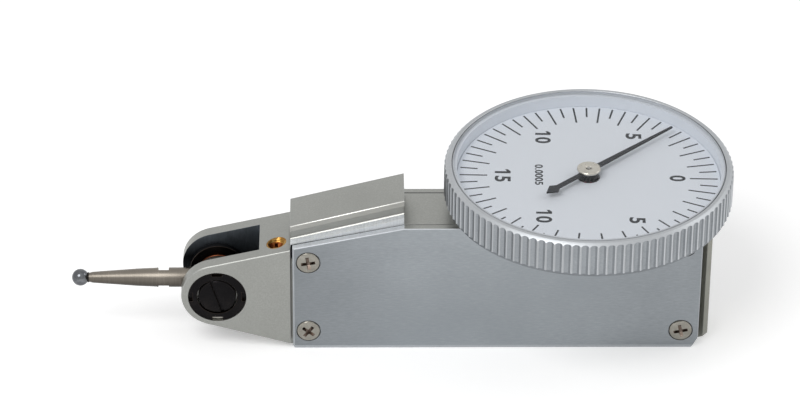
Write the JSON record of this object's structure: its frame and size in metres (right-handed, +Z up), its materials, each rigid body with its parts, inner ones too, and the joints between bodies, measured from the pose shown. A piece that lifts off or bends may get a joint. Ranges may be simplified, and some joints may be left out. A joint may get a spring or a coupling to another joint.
{
  "type": "dial test indicator",
  "caption": "Lever-type dial test indicator: a slim case with a forked nose, swivelling ball-ended stylus, dovetails for a holder, jewelled gear train and a round turning dial.",
  "frame": {"origin": "on the flat underside of the case, straight below the axis of the dial", "axes": "+Z up, out of the dial; +X along the case, from the stylus towards the rear; +Y to the far side"},
  "size_m": [0.077, 0.0334, 0.0232],
  "materials": {
    "satin_chrome": "satin chrome plate",
    "brushed_plate": "brushed lengthwise",
    "nickel": "polished nickel",
    "black_oxide": "blackened steel",
    "steel": "fine turned steel",
    "carbide": "polished",
    "copper": "bronze",
    "brass": "turned brass",
    "spring_steel": "blued steel",
    "ruby": "polished synthetic ruby",
    "dial_white": "matt white print ground",
    "bezel_chrome": "satin, coin edge",
    "hand_grey": "dark grey",
    "crystal_clear": "clear and polished"
  },
  "bodies": {
    "case": {"adjusting_screw": "brass", "bezel_friction_spring": "steel", "centre_cock": "brass", "cock_screw": "steel", "dial_base": "satin_chrome", "dial_base_screw_1": "steel", "dial_base_screw_2": "steel", "end_stone": "ruby", "far_cover_plate": "brushed_plate", "far_cover_screw_1": "nickel", "far_cover_screw_2": "nickel", "far_cover_screw_3": "nickel", "far_cover_screw_4": "nickel", "far_crown_jewel": "ruby", "far_lock_ring": "black_oxide", "far_movement_plate": "brass", "far_movement_screw_1": "steel", "far_movement_screw_2": "steel", "far_pivot_screw": "black_oxide", "far_sector_jewel": "ruby", "frame": "satin_chrome", "hairspring": "spring_steel", "hairspring_stud": "brass", "lower_centre_jewel": "ruby", "near_cover_plate": "brushed_plate", "near_cover_screw_1": "nickel", "near_cover_screw_2": "nickel", "near_cover_screw_3": "nickel", "near_cover_screw_4": "nickel", "near_crown_jewel": "ruby", "near_lock_ring": "black_oxide", "near_movement_plate": "brass", "near_movement_screw_1": "steel", "near_movement_screw_2": "steel", "near_pivot_screw": "black_oxide", "near_sector_jewel": "ruby", "upper_centre_jewel": "ruby"},
    "lever": {"measuring_lever": "black_oxide", "swivel_axle": "steel", "near_friction_washer": "copper", "far_friction_washer": "copper", "drive_pin": "steel"},
    "stylus": {"swivel_hub": "steel", "stylus_shaft": "steel", "stylus_ball": "carbide"},
    "sector": {"sector_gear": "brass", "sector_arbor": "steel"},
    "crown": {"crown_wheel": "brass", "crown_arbor": "steel"},
    "pointer": {"centre_arbor": "steel", "hairspring_collet": "brass", "hand": "hand_grey", "hand_hub": "nickel", "hand_collar": "black_oxide"},
    "bezel_ring": {"bezel": "bezel_chrome", "dial": "dial_white", "crystal": "crystal_clear"}
  },
  "joints": [
    {"name": "lever_swing", "type": "hinge", "parent": "case", "child": "lever", "pos_m": [-0.04314, 0, 0.00725], "axis": [0, 1, 0], "range_deg": [-1.5, 1.5], "stiffness_Nm_per_rad": 0.06},
    {"name": "stylus_swivel", "type": "hinge", "parent": "lever", "child": "stylus", "pos_m": [-0.04314, 0, 0.00725], "axis": [0, 1, 0], "range_deg": [-105, 105]},
    {"name": "sector_swing", "type": "hinge", "parent": "case", "child": "sector", "pos_m": [-0.0112, 0, 0.00725], "axis": [0, 1, 0], "range_deg": [-6.1, 6.1]},
    {"name": "crown_spin", "type": "hinge", "parent": "case", "child": "crown", "pos_m": [0, 0, 0.00725], "axis": [0, 1, 0], "range_deg": [-50.5, 50.5]},
    {"name": "hand_spin", "type": "hinge", "parent": "case", "child": "pointer", "pos_m": [0, 0, 0.0217], "axis": [0, 0, 1], "range_deg": [-201, 201]},
    {"name": "bezel_turn", "type": "hinge", "parent": "case", "child": "bezel_ring", "pos_m": [0, 0, 0.0208], "axis": [0, 0, 1], "continuous": true}
  ],
  "couplings": [
    {"joint": "hand_spin", "follows": "lever_swing", "ratio": -133.33},
    {"joint": "sector_swing", "follows": "lever_swing", "ratio": -4},
    {"joint": "crown_spin", "follows": "lever_swing", "ratio": 33.333}
  ]
}
